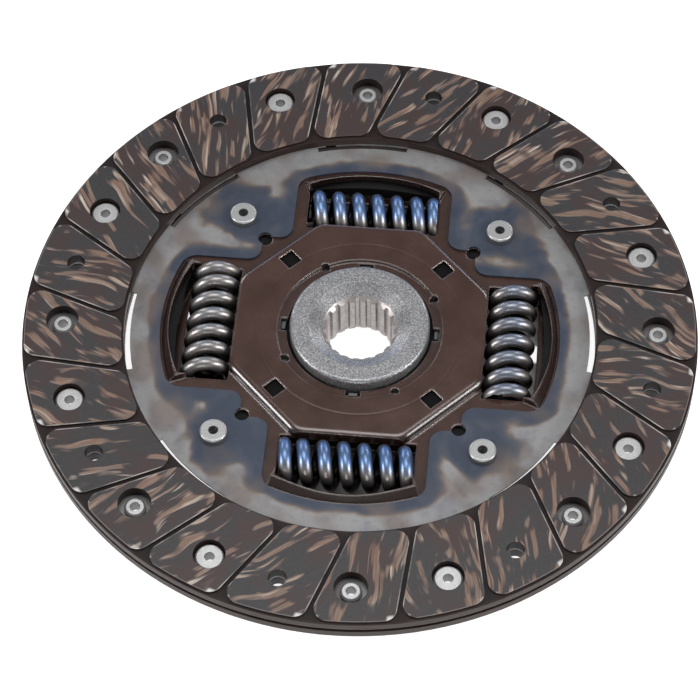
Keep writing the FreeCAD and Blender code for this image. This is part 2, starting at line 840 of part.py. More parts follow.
def hub(label):
    """Splined hub with a round-edged collar and a shallow dish around the splines."""
    body = new_body(label)
    minor = size["spline_minor_radius"]
    major = size["spline_major_radius"]
    collar = size["collar_radius"]
    neck = size["neck_radius"]
    top = size["collar_top"]
    bottom = size["hub_bottom"]
    edge = size["collar_edge_radius"]
    chamfer = size["neck_edge_chamfer"]
    dish = size["dish_radius"]
    floor = size["dish_floor_radius"]
    section = new_sketch(body, "XZ_Plane")
    add_outline(
        section,
        [
            (minor, bottom + chamfer),
            (major + size["bore_chamfer"], bottom),
            (neck - chamfer, bottom),
            (neck, bottom + chamfer),
            (neck, flange_rear),
            (collar, flange_rear),
            (collar, top - edge, edge),
            (collar - edge, top),
            (dish, top),
            (floor, top - size["dish_depth"]),
            (minor, top - size["dish_depth"] - (floor - minor)),
        ],
    )
    revolve(body, section)
    margin = size["cut_margin"]
    space = new_sketch(body, "XY_Plane", top + margin, as_size(180.0) / size["spline_count"])
    half = size["spline_space_angle"] / 2
    narrow = size["spline_root_angle"] / 2
    inner = minor - margin
    add_outline(
        space,
        [
            (inner * cosine(half), inner * -sine(half)),
            (minor * cosine(half), minor * -sine(half)),
            (major * cosine(narrow), major * -sine(narrow), major),
            (major * cosine(narrow), major * sine(narrow)),
            (minor * cosine(half), minor * sine(half)),
            (inner * cosine(half), inner * sine(half)),
        ],
    )
    tooth_space = pocket(body, space, top - bottom + margin * 2)
    around(body, [tooth_space], size["spline_count"])
    return body


def hub_flange(label):
    """Plate pressed onto the hub: the springs push in its windows, the stop pins run in its notches."""
    body = new_body(label)
    flange = size["flange_radius"]
    bevel = size["flange_bevel"]
    bore = size["collar_radius"] + size["flange_fit"]
    margin = size["cut_margin"]
    section = new_sketch(body, "XZ_Plane")
    add_outline(
        section,
        [
            (bore, flange_rear),
            (flange - bevel, flange_rear),
            (flange, flange_rear + bevel),
            (flange, flange_front - bevel),
            (flange - bevel, flange_front),
            (bore, flange_front),
        ],
    )
    revolve(body, section)
    room = size["flange_window_clearance"]
    near = size["spring_reach"] - size["spring_radius"] - room
    far = size["spring_reach"] + size["spring_radius"] + room
    above = flange_front + size["flange_thickness"]
    depth = size["flange_thickness"] * 3
    opening = new_sketch(body, "XY_Plane", above)
    add_window(opening, near, far, size["flange_window_reach"])
    window = pocket(body, opening, depth)
    notch = new_sketch(body, "XY_Plane", above, as_size(45))
    floor_reach = size["pin_reach"] - size["pin_spacer_radius"] - size["notch_clearance"] * 2
    half_width = size["pin_spacer_radius"] + size["notch_clearance"]
    side = size["stop_angle"]
    wide_over = half_width * sine(side)
    wide_up = half_width * cosine(side)
    floor_over = floor_reach * cosine(side) - wide_over
    floor_up = floor_reach * sine(side) + wide_up
    mouth_over = (flange + margin) * cosine(side) - wide_over
    mouth_up = (flange + margin) * sine(side) + wide_up
    add_outline(
        notch,
        [(floor_over, -floor_up), (mouth_over, -mouth_up), (mouth_over, mouth_up), (floor_over, floor_up)],
    )
    stop = pocket(body, notch, depth)
    around(body, [window, stop], 4)
    return body


# Damper springs


def coil_blank():
    """A long coil of half turns, each a half ring that leans over by half the pitch."""
    mean = size["spring_radius"] - size["wire_radius"]
    pitch = size["coil_pitch"]
    half_turns = 2 * math.ceil((size["spring_length"].value + 4 * size["wire_radius"].value) / pitch.value)
    lean = math.degrees(math.atan2(pitch.value / 2, 2 * mean.value))
    ring_radius = square_root(mean * mean + pitch * pitch / 16)
    rings = []
    for place in range(half_turns):
        ring = doc.addObject("Part::Torus", "HalfTurn")
        bind(ring, "Radius1", ring_radius)
        bind(ring, "Radius2", size["wire_radius"])
        ring.Angle3 = 180
        tilt = FreeCAD.Rotation(FreeCAD.Vector(0, 1, 0), lean)
        if place % 2:
            tilt = FreeCAD.Rotation(Z_AXIS, 180).multiply(tilt)
        rise = pitch * (place / 2 + 0.25 - half_turns / 4)
        ring.Placement = FreeCAD.Placement(FreeCAD.Vector(0, 0, rise.value), tilt)
        bind(ring, "Placement.Base.z", rise)
        rings.append(ring)
    coil = doc.addObject("Part::MultiFuse", "CoilBlank")
    coil.Shapes = rings
    ground = doc.addObject("Part::Cylinder", "GroundEnds")
    bind(ground, "Radius", size["spring_radius"] + size["cut_margin"])
    bind(ground, "Height", size["spring_length"])
    bind(ground, "Placement.Base.z", -size["spring_length"] / 2)
    return coil, ground


def damper_spring(label, coil, ground, angle):
    """The coil ground flat at both ends and laid across the radius at this angle."""
    spring = doc.addObject("Part::Common", label)
    spring.Label = label
    spring.Base = coil
    spring.Tool = ground
    laid = FreeCAD.Rotation(FreeCAD.Vector(1, 0, 0), -90)
    turn = FreeCAD.Rotation(Z_AXIS, angle).multiply(laid)
    reach = size["spring_reach"]
    base_x = reach * cosine(angle)
    base_y = reach * sine(angle)
    base = FreeCAD.Vector(base_x.value, base_y.value, flange_middle.value)
    spring.Placement = FreeCAD.Placement(base, turn)
    bind(spring, "Placement.Base.x", base_x)
    bind(spring, "Placement.Base.y", base_y)
    bind(spring, "Placement.Base.z", flange_middle)
    return spring


# Stop pins


def stop_pin(label, angle):
    """A shouldered pin that holds both damper plates and the cushion plate together."""
    body = new_body(label)
    section = new_sketch(body, "XZ_Plane", shift=size["pin_reach"])
    spacer = size["pin_spacer_radius"]
    shank = size["pin_shank_radius"]
    head = size["pin_head_radius"]
    edge = size["pin_head_edge"]
    top = cushion_half + size["pin_head_height"]
    bottom = plate_rear_face - size["pin_head_height"]
    dimple = size["pin_dimple_radius"]
    depth = size["pin_dimple_depth"]
    add_outline(
        section,
        [
            (0, bottom + depth),
            (dimple, bottom),
            (head - edge, bottom, edge),
            (head, bottom + edge),
            (head, plate_rear_face),
            (shank, plate_rear_face),
            (shank, plate_rear_back),
            (spacer, plate_rear_back),
            (spacer, plate_front_back),
            (shank, plate_front_back),
            (shank, cushion_half),
            (head, cushion_half),
            (head, top - edge, edge),
            (head - edge, top),
            (dimple, top),
            (0, top - depth),
        ],
    )
    revolve(body, section)
    move_to(body, angle=angle)
    return body


# Friction pieces on the front side


def front_friction_ring(label):
    """Plastic ring with four lugs that sit in the square holes of the front plate."""
    body = new_body(label)
    ring = new_sketch(body, "XY_Plane", plate_front_back)
    add_circle(ring, size["friction_ring_outer_radius"])
    add_circle(ring, size["friction_ring_inner_radius"])
    pad(body, ring, plateau_ceiling - plate_front_back)
    lug = new_sketch(body, "XY_Plane", plateau_ceiling, as_size(45))
    half = size["lug_width"] / 2
    reach = size["lug_hole_reach"]
    add_rectangle(lug, reach - half, reach + half, -half, half)
    lug_body = pad(body, lug, size["lug_height"])
    around(body, [lug_body], 4)
    return body


def inner_friction_washer(label):
    body = new_body(label)
    ring = new_sketch(body, "XY_Plane", plate_front_back)
    add_circle(ring, size["thrust_ring_outer_radius"])
    add_circle(ring, size["thrust_ring_inner_radius"])
    pad(body, ring, size["inner_washer_thickness"])
    return body


def thrust_ring(label):
    """Steel ring whose four bent tabs stand in the notches of the front plate."""
    body = new_body(label)
    base = plate_front_back + size["inner_washer_thickness"]
    ring = new_sketch(body, "XY_Plane", base)
    inner = size["thrust_ring_inner_radius"]
    add_circle(ring, size["thrust_ring_outer_radius"])
    add_circle(ring, inner)
    pad(body, ring, size["thrust_ring_thickness"])
    tab = new_sketch(body, "XY_Plane", base)
    half = size["thrust_tab_width"] / 2
    add_rectangle(tab, inner, inner + size["thrust_tab_thickness"], -half, half)
    tab_body = pad(body, tab, size["thrust_tab_height"])
    around(body, [tab_body], 4)
    return body


def disc_spring(label):
    """Conical spring washer between the thrust ring and the front plate."""
    body = new_body(label)
    section = new_sketch(body, "XZ_Plane")
    low = plate_front_back + size["inner_washer_thickness"] + size["thrust_ring_thickness"]
    thick = size["disc_spring_thickness"]
    outer = size["thrust_ring_outer_radius"]
    inner = outer - size["disc_spring_width"]
    add_outline(
        section,
        [(inner, low), (outer, plateau_ceiling - thick), (outer, plateau_ceiling), (inner, low + thick)],
    )
    revolve(body, section)
    return body


# Pieces on the rear side


def rear_friction_washer(label):
    body = new_body(label)
    ring = new_sketch(body, "XY_Plane", rear_plateau_floor)
    add_circle(ring, size["rear_washer_outer_radius"])
    add_circle(ring, size["rear_washer_inner_radius"])
    pad(body, ring, size["rear_plateau_rise"])
    return body


def rear_bush(label):
    """Flanged plastic bush that centres the rear plate on the hub."""
    body = new_body(label)
    section = new_sketch(body, "XZ_Plane")
    inner = size["bush_inner_radius"]
    sleeve = size["bush_outer_radius"]
    bottom = rear_plateau_floor - size["bush_depth"]
    add_outline(
        section,
        [
            (inner, bottom),
            (sleeve, bottom),
            (sleeve, rear_plateau_floor),
            (size["bush_flange_radius"], rear_plateau_floor),
            (size["bush_flange_radius"], plate_rear_back),
            (inner, plate_rear_back),
        ],
    )
    revolve(body, section)
    return body


# The whole disc

front_facing = friction_facing("front_facing")
front_rivets = facing_rivets("front_facing_rivets")
nodes = [
    front_facing,
    front_rivets,
    turned_over("rear_facing", front_facing),
    turned_over("rear_facing_rivets", front_rivets),
    cushion_plate("cushion_plate"),
    front_damper_plate("front_damper_plate"),
    rear_damper_plate("rear_damper_plate"),
    hub("hub"),
    hub_flange("hub_flange"),
    front_friction_ring("front_friction_ring"),
    inner_friction_washer("inner_friction_washer"),
    thrust_ring("thrust_ring"),
    disc_spring("disc_spring"),
    rear_friction_washer("rear_friction_washer"),
    rear_bush("rear_bush"),
]
coil, ground = coil_blank()
for number in range(4):
    nodes.append(stop_pin("stop_pin_" + str(number + 1), 45.0 + 90.0 * number))
    nodes.append(damper_spring("damper_spring_" + str(number + 1), coil, ground, 90.0 * number))

doc.recompute()

for thing in doc.Objects:
    if "Invalid" in thing.State or "Error" in thing.State:
        raise RuntimeError(thing.Label + " failed: " + str(thing.State))
for node in nodes:
    if node.Shape.isNull() or not node.Shape.isValid() or not node.Shape.Solids:
        raise RuntimeError(node.Label + " has no valid solid")

os.makedirs("parts", exist_ok=True)
for node in nodes:
    node.Shape.exportStep("parts/" + node.Label + ".step")
    print(node.Label, len(node.Shape.Solids), round(node.Shape.Volume, 1))
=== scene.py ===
import json
import math

import bpy
from mathutils import Matrix, Vector


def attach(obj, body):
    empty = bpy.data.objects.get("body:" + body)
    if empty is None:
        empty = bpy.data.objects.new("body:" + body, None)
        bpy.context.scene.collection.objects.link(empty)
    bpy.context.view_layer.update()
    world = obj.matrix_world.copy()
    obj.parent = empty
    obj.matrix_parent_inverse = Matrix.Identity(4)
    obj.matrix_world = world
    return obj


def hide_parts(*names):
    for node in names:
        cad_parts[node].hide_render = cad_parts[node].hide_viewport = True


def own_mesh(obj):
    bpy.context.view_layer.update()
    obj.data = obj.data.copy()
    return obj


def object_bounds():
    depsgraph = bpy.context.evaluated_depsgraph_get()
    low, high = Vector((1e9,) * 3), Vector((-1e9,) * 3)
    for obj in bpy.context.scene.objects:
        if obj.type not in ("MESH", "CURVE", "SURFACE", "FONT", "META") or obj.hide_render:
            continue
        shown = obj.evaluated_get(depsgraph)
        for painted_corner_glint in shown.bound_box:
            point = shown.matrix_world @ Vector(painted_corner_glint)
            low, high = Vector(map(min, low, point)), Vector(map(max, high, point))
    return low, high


# Clutch disc: finishes, smooth coil springs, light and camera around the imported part.

# Sizes that the finishes line up with, as in the part's source, in millimetres and degrees
MM = 0.001
FACING_OUTER = 100.0
FACING_INNER = 70.0
FACING_FACE = 4.1
GROOVE_FLOOR = 3.2
GROOVE_HALF = 0.65
GROOVE_SKEW = 26.4
GROOVE_TURN = -4.13
PADDLE_TURN = 80.03
PAD_COUNT = 24
PAD_STEP = math.radians(360.0 / PAD_COUNT)
PIN_PLACE = 39.14

# Damper springs, in millimetres
SPRING_LENGTH = 39.6
SPRING_MEAN = 5.5
SPRING_WIRE = 2.0
SPRING_PITCH = 5.95
SPRING_TURNS = 7.1
SPRING_END_PITCH = 3.7
SPRING_END_TURNS = 0.45
SPRING_REACH = 44.7
SPRING_HEIGHT = -3.6
SPRING_ROLLS = (90, 180, 180, 90)


# Small helpers for finishes


class Finish:
    """One procedural finish, put together node by node on coordinates in millimetres."""

    def __init__(self, name, metallic=0.0, roughness=0.5):
        self.material = bpy.data.materials.new(name)
        self.material.use_nodes = True
        self.tree = self.material.node_tree
        self.shader = self.tree.nodes["Principled BSDF"]
        self.set("Metallic", metallic)
        self.set("Roughness", roughness)
        place = self.node("ShaderNodeTexCoord")
        self.mm = self.scaled(place.outputs["Object"], 1 / MM)
        apart = self.node("ShaderNodeSeparateXYZ")
        self.wire(self.mm, apart.inputs[0])
        self.x, self.y, self.z = apart.outputs

    def node(self, kind, **settings):
        made = self.tree.nodes.new(kind)
        for name, value in settings.items():
            setattr(made, name, value)
        return made

    def wire(self, start, end):
        self.tree.links.new(start, end)

    def feed(self, socket, value):
        """Links an output to a socket, or writes a plain value on it."""
        if isinstance(value, bpy.types.NodeSocket):
            self.wire(value, socket)
        else:
            socket.default_value = value

    def set(self, name, value):
        self.feed(self.shader.inputs[name], value)

    # Arithmetic on one or two values

    def work(self, operation, first, second=0.0):
        made = self.node("ShaderNodeMath", operation=operation)
        self.feed(made.inputs[0], first)
        self.feed(made.inputs[1], second)
        return made.outputs[0]

    def plus(self, first, second):
        return self.work("ADD", first, second)

    def minus(self, first, second):
        return self.work("SUBTRACT", first, second)

    def times(self, first, second):
        return self.work("MULTIPLY", first, second)

    def most(self, first, second):
        return self.work("MAXIMUM", first, second)

    def unsigned(self, value):
        return self.work("ABSOLUTE", value)

    def hypotenuse(self, x, y):
        return self.work("SQRT", self.plus(self.times(x, x), self.times(y, y)))

    def radius(self):
        """Distance from the shaft axis in millimetres."""
        return self.hypotenuse(self.x, self.y)

    def span(self, value, low, high, start=0.0, end=1.0):
        """Maps low..high onto start..end and stops there."""
        made = self.node("ShaderNodeMapRange")
        self.feed(made.inputs["Value"], value)
        ends = {"From Min": low, "From Max": high, "To Min": start, "To Max": end}
        for name, number in ends.items():
            made.inputs[name].default_value = number
        return made.outputs["Result"]

    # Coordinates

    def vector(self, x, y, z):
        made = self.node("ShaderNodeCombineXYZ")
        for socket, value in zip(made.inputs, (x, y, z)):
            self.feed(socket, value)
        return made.outputs[0]

    def scaled(self, vector, factor):
        made = self.node("ShaderNodeVectorMath", operation="SCALE")
        self.wire(vector, made.inputs[0])
        made.inputs["Scale"].default_value = factor
        return made.outputs[0]

    def shifted(self, vector, step):
        made = self.node("ShaderNodeVectorMath", operation="ADD")
        self.wire(vector, made.inputs[0])
        self.feed(made.inputs[1], step)
        return made.outputs[0]

    def turned(self, vector, angle):
        """The coordinates turned about the shaft axis by an angle that is itself an output."""
        made = self.node("ShaderNodeVectorRotate", rotation_type="Z_AXIS")
        self.wire(vector, made.inputs["Vector"])
        self.wire(angle, made.inputs["Angle"])
        return made.outputs[0]

    def stretched(self, vector, scale, turn=0.0):
        """The coordinates turned about Z and scaled differently along each axis."""
        made = self.node("ShaderNodeMapping")
        self.wire(vector, made.inputs["Vector"])
        made.inputs["Rotation"].default_value = (0, 0, math.radians(turn))
        made.inputs["Scale"].default_value = scale
        return made.outputs[0]

    def pushed(self, vector, scale, amount):
        """The coordinates bent by a slow noise, by up to this amount in millimetres."""
        slow = self.node("ShaderNodeTexNoise")
        self.wire(vector, slow.inputs["Vector"])
        slow.inputs["Scale"].default_value = scale
        slow.inputs["Detail"].default_value = 1.5
        centred = self.shifted(slow.outputs["Color"], (-0.5, -0.5, -0.5))
        return self.shifted(vector, self.scaled(centred, amount * 2))

    # Patterns and colours

    def noise(self, vector, scale, detail=3.0, roughness=0.55, distortion=0.0):
        made = self.node("ShaderNodeTexNoise")
        self.wire(vector, made.inputs["Vector"])
        made.inputs["Scale"].default_value = scale
        made.inputs["Detail"].default_value = detail
        made.inputs["Roughness"].default_value = roughness
        made.inputs["Distortion"].default_value = distortion
        return made.outputs["Fac"]

    def chance(self, number):
        """A value from 0 to 1 that is picked at random for each whole number."""
        made = self.node("ShaderNodeTexWhiteNoise", noise_dimensions="1D")
        self.wire(number, made.inputs["W"])
        return made.outputs["Value"]

    def ramp(self, value, stops):
        made = self.node("ShaderNodeValToRGB")
        band = made.color_ramp
        while len(band.elements) < len(stops):
            band.elements.new(0.5)
        for element, (position, colour) in zip(band.elements, stops):
            element.position = position
            element.color = (*colour, 1.0)
        self.wire(value, made.inputs["Fac"])
        return made.outputs["Color"]

    def mix(self, share, first, second):
        """A colour between two, each of which is an output or three plain numbers."""
        made = self.node("ShaderNodeMix", data_type="RGBA")
        self.feed(made.inputs["Factor"], share)
        for name, value in (("A", first), ("B", second)):
            plain = not isinstance(value, bpy.types.NodeSocket)
            self.feed(made.inputs[name], (*value, 1.0) if plain else value)
        return made.outputs["Result"]

    # Relief and the shape underneath

    def rounded(self, reach):
        """The normal as if edges were rounded by this radius in millimetres."""
        made = self.node("ShaderNodeBevel", samples=6)
        made.inputs["Radius"].default_value = reach * MM
        return made.outputs["Normal"]

    def bump(self, height, depth, strength, edge=0.0):
        """Relief of this depth on edges softened by this radius, both in millimetres."""
        made = self.node("ShaderNodeBump")
        made.inputs["Strength"].default_value = strength
        made.inputs["Distance"].default_value = depth * MM
        self.wire(height, made.inputs["Height"])
        if edge > 0.0:
            self.wire(self.rounded(edge), made.inputs["Normal"])
        return made.outputs["Normal"]

    def bend(self, reach):
        """0 on flat faces, and more towards edges and tight bends within this reach."""
        face = self.node("ShaderNodeNewGeometry")
        along = self.node("ShaderNodeVectorMath", operation="DOT_PRODUCT")
        self.wire(self.rounded(reach), along.inputs[0])
        self.wire(face.outputs["Normal"], along.inputs[1])
        return self.minus(1.0, along.outputs["Value"])

    def upright(self, flat=0.6, steep=0.3):
        """1 on walls along the axis and 0 on faces across it."""
        face = self.node("ShaderNodeNewGeometry")
        parts = self.node("ShaderNodeSeparateXYZ")
        self.wire(face.outputs["True Normal"], parts.inputs[0])
        return self.span(self.unsigned(parts.outputs["Z"]), flat, steep)


def grey(level):
    return (level, level, level)


# Friction lining

RUBBED_YARN = [
    (0.30, (0.150, 0.085, 0.062)),
    (0.44, (0.235, 0.165, 0.125)),
    (0.52, (0.210, 0.120, 0.085)),
    (0.60, (0.360, 0.280, 0.225)),
    (0.72, (0.600, 0.530, 0.460)),
]
MOULDED_LINING = [(0.3, (0.028, 0.026, 0.027)), (0.7, (0.044, 0.041, 0.043))]
PRESSED_LAYERS = [
    (0.35, (0.036, 0.020, 0.016)),
    (0.58, (0.110, 0.072, 0.060)),
    (0.75, (0.26, 0.20, 0.17)),
]
RED_CLOUD = (0.050, 0.028, 0.026)
PAINTED_EDGE_GLINT = (0.50, 0.47, 0.45)
PAINTED_CORNER_GLINT = (0.80, 0.78, 0.76)
GROOVE_SHADE = (0.016, 0.009, 0.008)


def pad_place(finish, radius, front):
    """Counts pads round the disc, in whole numbers at the middle lines of the slanted grooves."""
    angle = finish.work("ARCTAN2", finish.y, finish.x)
    lag = finish.work("ARCCOSINE", finish.work("DIVIDE", GROOVE_SKEW, radius))
    rear_angle = finish.minus(math.radians(2 * PADDLE_TURN), angle)
    behind = finish.minus(1.0, front)
    own_angle = finish.plus(finish.times(front, angle), finish.times(behind, rear_angle))
    first_groove = math.radians(90.0 + GROOVE_TURN)
    past_groove = finish.minus(finish.plus(own_angle, lag), first_groove)
    return finish.work("DIVIDE", past_groove, PAD_STEP)


def from_groove(finish, place, radius):
    """Distance in millimetres from the middle line of the nearest groove."""
    share = finish.work("FRACT", place)
    share = finish.work("MINIMUM", share, finish.minus(1.0, share))
    square = finish.minus(finish.times(radius, radius), GROOVE_SKEW * GROOVE_SKEW)
    return finish.times(finish.times(share, PAD_STEP), finish.work("SQRT", square))


def yarn_layer(finish, laid, spread, lean, length, width, shift):
    """Ragged strokes of this length and width that lean one way, in patches, and their colours."""

    def drawn(along, across):
        return finish.stretched(laid, (along / length, across / width, 0.02), lean)

    streak = finish.noise(drawn(1.0, 1.0), 1.0, detail=1.0, roughness=0.5)
    fibre = finish.noise(drawn(1.6, 4.5), 1.0, roughness=0.6)
    tone = finish.noise(drawn(0.5, 1.1), 1.0, detail=2.0, roughness=0.6)
    moved = finish.shifted(spread, (shift, shift * 0.7, 0.0))
    patches = finish.span(finish.noise(moved, 0.08, detail=1.0), 0.44, 0.5)
    ragged = finish.plus(streak, finish.times(finish.minus(fibre, 0.5), 0.20))
    stroke = finish.times(finish.span(ragged, 0.6, 0.66), patches)
    stroke = finish.times(stroke, finish.span(fibre, 0.25, 0.6, start=0.45))
    return stroke, finish.ramp(tone, RUBBED_YARN)


def yarn_strokes(finish, place, front):
    """Strokes in three leans over one another, turned and moved by chance in each pad."""
    pad_number = finish.work("FLOORED_MODULO", finish.work("FLOOR", place), PAD_COUNT)
    own_number = finish.plus(pad_number, finish.times(front, 40.0))
    chance = finish.chance(own_number)
    pad_turn = finish.times(pad_number, PAD_STEP)
    spin = finish.plus(pad_turn, finish.times(finish.minus(chance, 0.5), 1.1))
    straight = finish.turned(finish.mm, finish.times(spin, -1.0))
    spread = finish.shifted(straight, finish.vector(0.0, 0.0, finish.times(chance, 300.0)))
    laid = finish.pushed(spread, scale=0.045, amount=5.0)
    strokes, tints = yarn_layer(finish, laid, spread, lean=46, length=18.0, width=2.8, shift=0.0)
    for lean, length, width, shift in ((128, 15.0, 2.4, 40.0), (84, 20.0, 2.2, 90.0)):
        stroke, tint = yarn_layer(finish, laid, spread, lean, length, width, shift)
        tints = finish.mix(stroke, tints, tint)
        strokes = finish.most(strokes, stroke)
    return strokes, tints


def rim_share(finish, radius, height):
    """1 on the facing's cut rims, outside and inside, below the grooves."""
    outside = finish.span(radius, FACING_OUTER - 0.8, FACING_OUTER - 0.4)
    inside = finish.span(radius, FACING_INNER + 0.5, FACING_INNER + 0.2)
    below = finish.span(height, GROOVE_FLOOR + 0.2, GROOVE_FLOOR - 0.1)
    return finish.times(below, finish.most(outside, inside))


def friction_lining():
    """Dark moulded lining with rubbed yarn in curved streaks, a painted highlight along the pad edges
    and corners, and painted shade in the grooves.
    """
    finish = Finish("friction_lining")
    radius = finish.radius()
    height = finish.unsigned(finish.z)
    front = finish.work("GREATER_THAN", finish.z, 0.0)
    place = pad_place(finish, radius, front)
    on_pad = finish.span(height, FACING_FACE - 0.15, FACING_FACE - 0.05)
    in_groove = finish.minus(1.0, on_pad)
    fleck = finish.noise(finish.mm, 1.4, detail=4.0, roughness=0.7)
    cloud = finish.noise(finish.mm, 0.09)

    tint = finish.ramp(fleck, MOULDED_LINING)
    tint = finish.mix(finish.span(cloud, 0.42, 0.6, end=0.85), tint, RED_CLOUD)
    layers = finish.noise(finish.stretched(finish.mm, (0.12, 0.12, 3.2)), 1.0, roughness=0.6)
    pressed = finish.ramp(layers, PRESSED_LAYERS)
    tint = finish.mix(rim_share(finish, radius, height), tint, pressed)

    aside = from_groove(finish, place, radius)
    # Painted highlight: pale glints along the pad edges beside the grooves and along the outer edge.
    glint_beside_groove = finish.times(
        finish.span(aside, GROOVE_HALF + 0.4, GROOVE_HALF + 0.15),
        finish.span(cloud, 0.4, 0.6, start=0.1, end=0.9),
    )
    glint_on_outer_edge = finish.times(finish.span(radius, FACING_OUTER - 0.9, FACING_OUTER - 0.7), 0.35)
    painted_glint = finish.times(finish.most(glint_beside_groove, glint_on_outer_edge), on_pad)
    tint = finish.mix(painted_glint, tint, PAINTED_EDGE_GLINT)
    # Painted highlight: bright glints on the pads' outer corners beside the grooves.
    far_out = finish.span(radius, FACING_OUTER - 2.4, FACING_OUTER - 1.6)
    painted_corner_glint = finish.times(finish.times(far_out, finish.span(aside, 3.4, 2.6)), on_pad)
    tint = finish.mix(finish.times(painted_corner_glint, 0.8), tint, PAINTED_CORNER_GLINT)
    tint = finish.mix(finish.times(in_groove, 0.75), tint, GROOVE_SHADE)

    strokes, yarn_tints = yarn_strokes(finish, place, front)
    strokes = finish.times(strokes, on_pad)
    finish.set("Base Color", finish.mix(strokes, tint, yarn_tints))
    finish.set("Specular IOR Level", finish.span(in_groove, 0.0, 1.0, start=0.5, end=0.2))
    finish.set("Roughness", finish.span(strokes, 0.0, 1.0, start=0.38, end=0.3))
    relief = finish.plus(finish.times(strokes, 0.5), finish.times(fleck, 0.5))
    finish.set("Normal", finish.bump(relief, depth=0.12, strength=0.8, edge=0.3))
    return finish.material


# Tempered sheet

HEAT_TINTS = [
    (0.0, (0.050, 0.063, 0.092)),
    (0.3, (0.070, 0.080, 0.104)),
    (0.52, (0.126, 0.110, 0.110)),
    (0.68, (0.225, 0.186, 0.158)),
    (0.84, (0.275, 0.268, 0.262)),
    (1.0, (0.300, 0.296, 0.298)),
]
FAINT_RUST = (0.170, 0.130, 0.112)
DARK_STAIN = (0.09, 0.09, 0.11)
BLUE_CLOUD = (0.100, 0.112, 0.145)
BLUE_BESIDE_AXES = 23.7
BLUE_RADIUS = 59.6
BLUE_ROUND_PINS = 9.0


def from_pins(finish):
    """Distance in millimetres from the nearest stop pin."""
    over = finish.minus(finish.unsigned(finish.x), PIN_PLACE)
    up = finish.minus(finish.unsigned(finish.y), PIN_PLACE)
    return finish.hypotenuse(over, up)


def heat_loss(finish, radius):
    """0 where the sheet was hottest, by the windows and pins, and 1 where it stayed cold."""
    drift = finish.noise(finish.mm, 0.055, detail=2.0, roughness=0.5, distortion=0.4)
    drift = finish.minus(drift, 0.5)
    wobble = finish.minus(finish.noise(finish.mm, 0.2, roughness=0.6), 0.5)
    nearer_axis = finish.work("MINIMUM", finish.unsigned(finish.x), finish.unsigned(finish.y))
    beside = finish.most(finish.minus(nearer_axis, BLUE_BESIDE_AXES), 0.0)
    beyond = finish.times(finish.most(finish.minus(radius, BLUE_RADIUS), 0.0), 1.7)
    away = finish.plus(finish.hypotenuse(beside, beyond), finish.times(drift, 13.0))
    away = finish.plus(away, finish.times(wobble, 1.6))
    pin_away = finish.plus(from_pins(finish), finish.times(drift, 26.0))
    pin_away = finish.plus(pin_away, finish.times(wobble, 2.0))
    past_pins = finish.span(pin_away, BLUE_ROUND_PINS, BLUE_ROUND_PINS + 5.5)
    return finish.times(past_pins, finish.span(away, 3.0, 7.5))


def tempered_steel():
    """Spring steel with heat tint: blue round the openings and pins, straw borders, grey outside."""
    finish = Finish("tempered_steel", metallic=0.45)
    radius = finish.radius()
    tint = finish.ramp(heat_loss(finish, radius), HEAT_TINTS)
    rust = finish.span(finish.noise(finish.mm, 0.075, detail=1.0, roughness=0.4), 0.46, 0.6)
    rust = finish.times(rust, finish.span(radius, 54.0, 62.0))
    tint = finish.mix(finish.times(rust, 0.65), tint, FAINT_RUST)
    stain = finish.span(finish.noise(finish.mm, 0.5, detail=4.0, roughness=0.65), 0.54, 0.74)
    tint = finish.mix(finish.times(stain, 0.3), tint, DARK_STAIN)
    cloud = finish.noise(finish.mm, 0.11, roughness=0.6)
    tint = finish.mix(finish.span(cloud, 0.5, 0.7, end=0.4), tint, BLUE_CLOUD)
    finish.set("Base Color", tint)
    smear = finish.noise(finish.mm, 0.25, detail=4.0, roughness=0.6)
    finish.set("Roughness", finish.span(smear, 0.3, 0.7, start=0.36, end=0.5))
    grain = finish.noise(finish.mm, 3.0, roughness=0.6)
    finish.set("Normal", finish.bump(grain, depth=0.02, strength=0.4))
    return finish.material


# Pressed plates

BROWN_OXIDE = [(0.3, (0.042, 0.015, 0.009)), (0.7, (0.061, 0.025, 0.017))]
PALE_SPECK = (0.16, 0.10, 0.085)
WALL_SHADE = (0.012, 0.006, 0.005)
PAINTED_BEND_HIGHLIGHT = (0.42, 0.34, 0.31)
PRESSED_RING = 30.4


def brown_plate():
    """Dark reddish-brown oxide on pressed steel, smooth enough to catch the lights on its bends, with
    a painted highlight on its edges and bends and painted shade on its walls.
    """
    finish = Finish("brown_plate", metallic=0.1)
    cloud = finish.noise(finish.mm, 0.09, detail=4.0, roughness=0.6)
    speck = finish.noise(finish.mm, 2.2, roughness=0.6)
    tint = finish.ramp(cloud, BROWN_OXIDE)
    tint = finish.mix(finish.span(speck, 0.6, 0.8, end=0.25), tint, PALE_SPECK)
    # Painted shade: walls along the axis are darkened.
    walls = finish.upright(flat=0.95, steep=0.8)
    tint = finish.mix(finish.times(walls, 0.78), tint, WALL_SHADE)
    # Painted highlight: a pale colour on the edges and bends, where the lights would glint.
    painted_glint = finish.span(cloud, 0.35, 0.6, start=0.25, end=0.8)
    painted_glint = finish.times(finish.span(finish.bend(0.5), 0.03, 0.16), painted_glint)
    finish.set("Base Color", finish.mix(painted_glint, tint, PAINTED_BEND_HIGHLIGHT))
    finish.set("Roughness", finish.span(cloud, 0.3, 0.7, start=0.2, end=0.3))
    finish.set("Coat Weight", 0.7)
    finish.set("Coat Roughness", 0.16)
    finish.set("Coat IOR", 1.8)
    off_ring = finish.unsigned(finish.minus(finish.radius(), PRESSED_RING))
    pressed_ring = finish.times(finish.span(off_ring, 0.5, 0.0), -1.0)
    relief = finish.plus(finish.times(speck, 0.1), pressed_ring)
    finish.set("Normal", finish.bump(relief, depth=0.12, strength=0.4, edge=0.8))
    finish.set("Coat Normal", finish.bump(relief, depth=0.05, strength=0.2, edge=1.0))
    return finish.material


